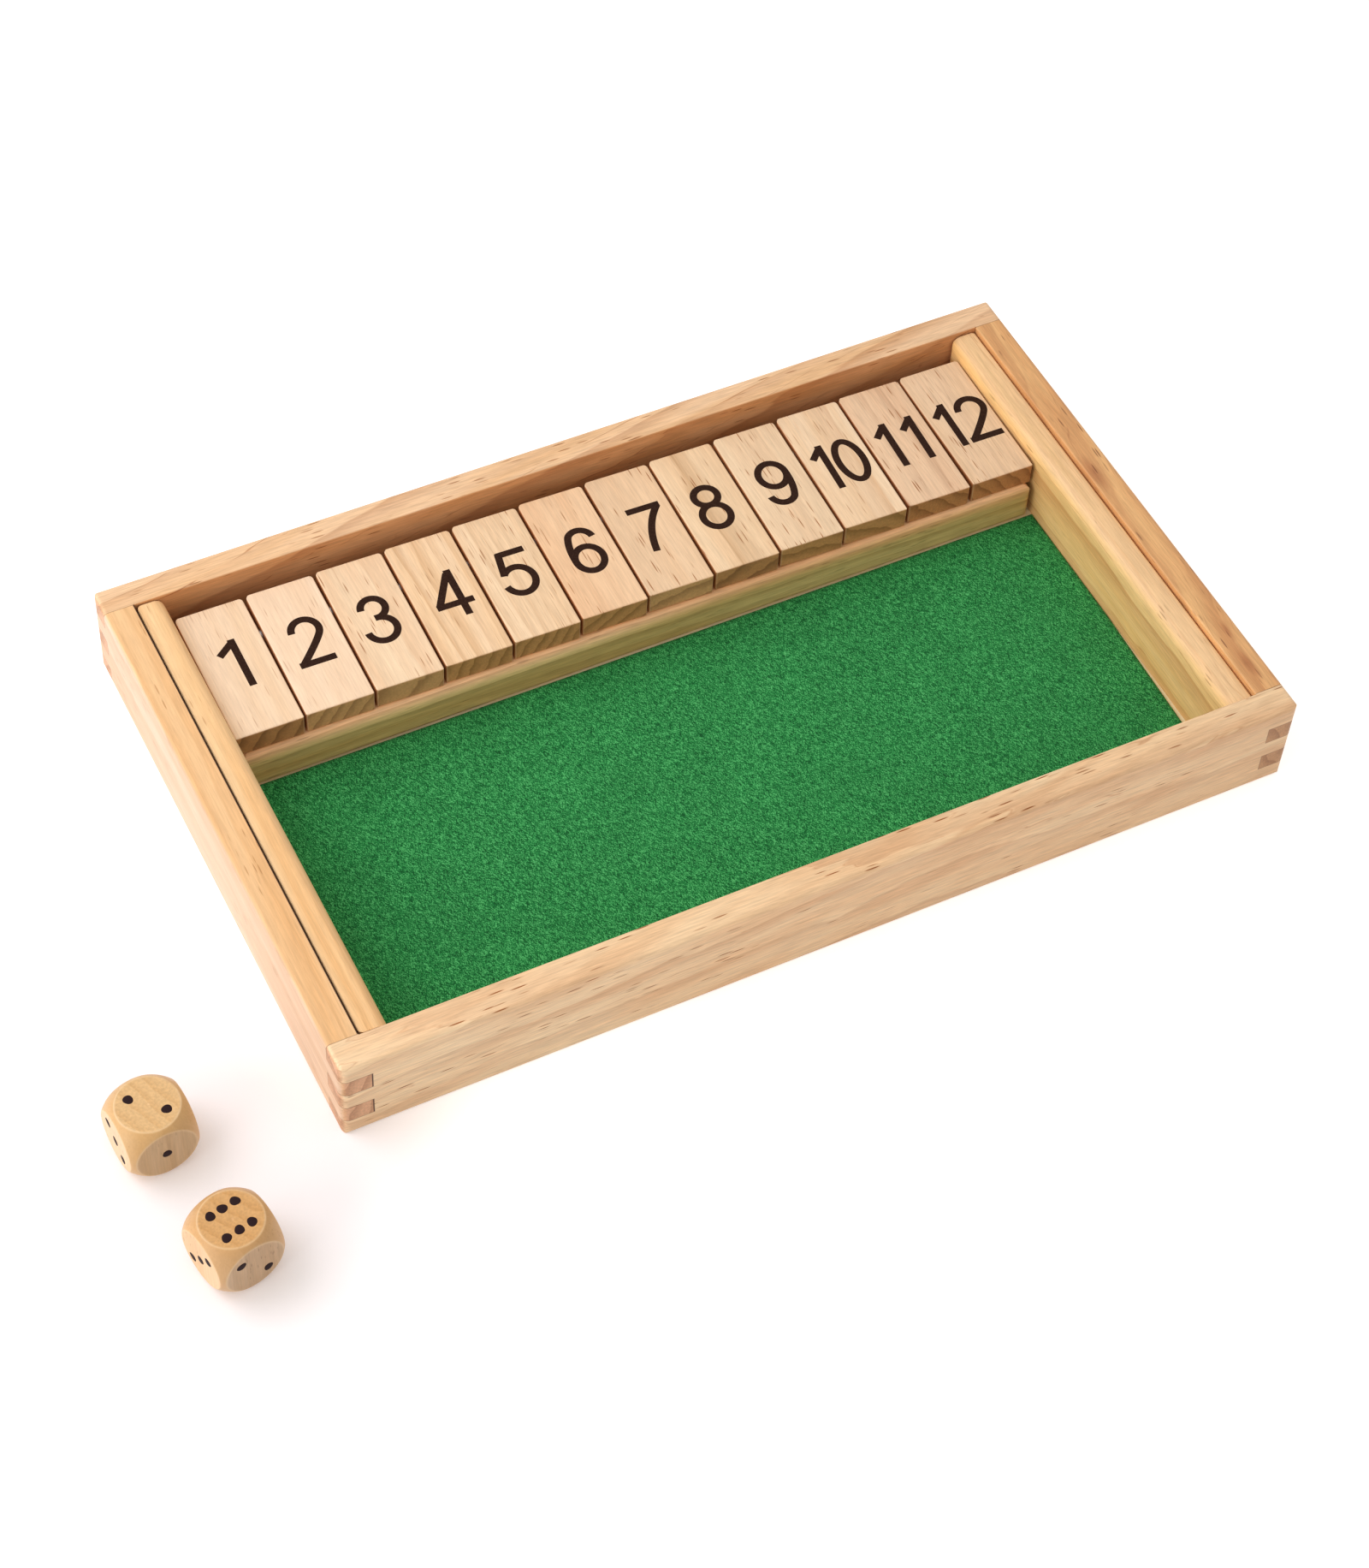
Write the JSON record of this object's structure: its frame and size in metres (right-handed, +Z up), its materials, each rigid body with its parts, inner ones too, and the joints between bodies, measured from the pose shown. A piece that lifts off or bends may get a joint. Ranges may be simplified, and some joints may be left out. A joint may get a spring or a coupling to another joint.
{
  "type": "shut the box game",
  "caption": "Open finger-jointed wooden tray with a felt base, a row of numbered flip tiles turning on one rod, and loose wooden dice.",
  "frame": {"origin": "centre of the box's underside", "axes": "+X along the row of tiles towards 12, +Y from the front rail to the back rail, +Z up"},
  "size_m": [0.346, 0.2106, 0.0297],
  "materials": {
    "box_wood": "satin",
    "strip_wood": "satin",
    "base_wood": "matte",
    "green_felt": "matte",
    "tile_wood": "satin",
    "rod_steel": "satin",
    "dice_wood": "satin"
  },
  "bodies": {
    "box": {"front_rail": "box_wood", "back_rail": "box_wood", "left_side_board": "box_wood", "right_side_board": "box_wood", "base_panel": "base_wood", "felt_mat": "green_felt", "tile_rest": "strip_wood", "left_rod_strip": "strip_wood", "right_rod_strip": "strip_wood", "pivot_rod": "rod_steel"},
    "tile_01": {"tile_01": "tile_wood"},
    "tile_02": {"tile_02": "tile_wood"},
    "tile_03": {"tile_03": "tile_wood"},
    "tile_04": {"tile_04": "tile_wood"},
    "tile_05": {"tile_05": "tile_wood"},
    "tile_06": {"tile_06": "tile_wood"},
    "tile_07": {"tile_07": "tile_wood"},
    "tile_08": {"tile_08": "tile_wood"},
    "tile_09": {"tile_09": "tile_wood"},
    "tile_10": {"tile_10": "tile_wood"},
    "tile_11": {"tile_11": "tile_wood"},
    "tile_12": {"tile_12": "tile_wood"},
    "die_1": {"die_1": "dice_wood"},
    "die_2": {"die_2": "dice_wood"}
  },
  "joints": [
    {"name": "tile_01_turn", "type": "hinge", "parent": "box", "child": "tile_01", "pos_m": [0, 0.0618, 0.0204], "axis": [-1, 0, 0], "range_deg": [0, 142]},
    {"name": "tile_02_turn", "type": "hinge", "parent": "box", "child": "tile_02", "pos_m": [0, 0.0618, 0.0204], "axis": [-1, 0, 0], "range_deg": [0, 142]},
    {"name": "tile_03_turn", "type": "hinge", "parent": "box", "child": "tile_03", "pos_m": [0, 0.0618, 0.0204], "axis": [-1, 0, 0], "range_deg": [0, 142]},
    {"name": "tile_04_turn", "type": "hinge", "parent": "box", "child": "tile_04", "pos_m": [0, 0.0618, 0.0204], "axis": [-1, 0, 0], "range_deg": [0, 142]},
    {"name": "tile_05_turn", "type": "hinge", "parent": "box", "child": "tile_05", "pos_m": [0, 0.0618, 0.0204], "axis": [-1, 0, 0], "range_deg": [0, 142]},
    {"name": "tile_06_turn", "type": "hinge", "parent": "box", "child": "tile_06", "pos_m": [0, 0.0618, 0.0204], "axis": [-1, 0, 0], "range_deg": [0, 142]},
    {"name": "tile_07_turn", "type": "hinge", "parent": "box", "child": "tile_07", "pos_m": [0, 0.0618, 0.0204], "axis": [-1, 0, 0], "range_deg": [0, 142]},
    {"name": "tile_08_turn", "type": "hinge", "parent": "box", "child": "tile_08", "pos_m": [0, 0.0618, 0.0204], "axis": [-1, 0, 0], "range_deg": [0, 142]},
    {"name": "tile_09_turn", "type": "hinge", "parent": "box", "child": "tile_09", "pos_m": [0, 0.0618, 0.0204], "axis": [-1, 0, 0], "range_deg": [0, 142]},
    {"name": "tile_10_turn", "type": "hinge", "parent": "box", "child": "tile_10", "pos_m": [0, 0.0618, 0.0204], "axis": [-1, 0, 0], "range_deg": [0, 142]},
    {"name": "tile_11_turn", "type": "hinge", "parent": "box", "child": "tile_11", "pos_m": [0, 0.0618, 0.0204], "axis": [-1, 0, 0], "range_deg": [0, 142]},
    {"name": "tile_12_turn", "type": "hinge", "parent": "box", "child": "tile_12", "pos_m": [0, 0.0618, 0.0204], "axis": [-1, 0, 0], "range_deg": [0, 142]},
    {"name": "die_1_lift", "type": "slide", "parent": "box", "child": "die_1", "axis": [0, 0, 1], "range_m": [0, 0.12]},
    {"name": "die_2_lift", "type": "slide", "parent": "box", "child": "die_2", "axis": [0, 0, 1], "range_m": [0, 0.12]}
  ]
}
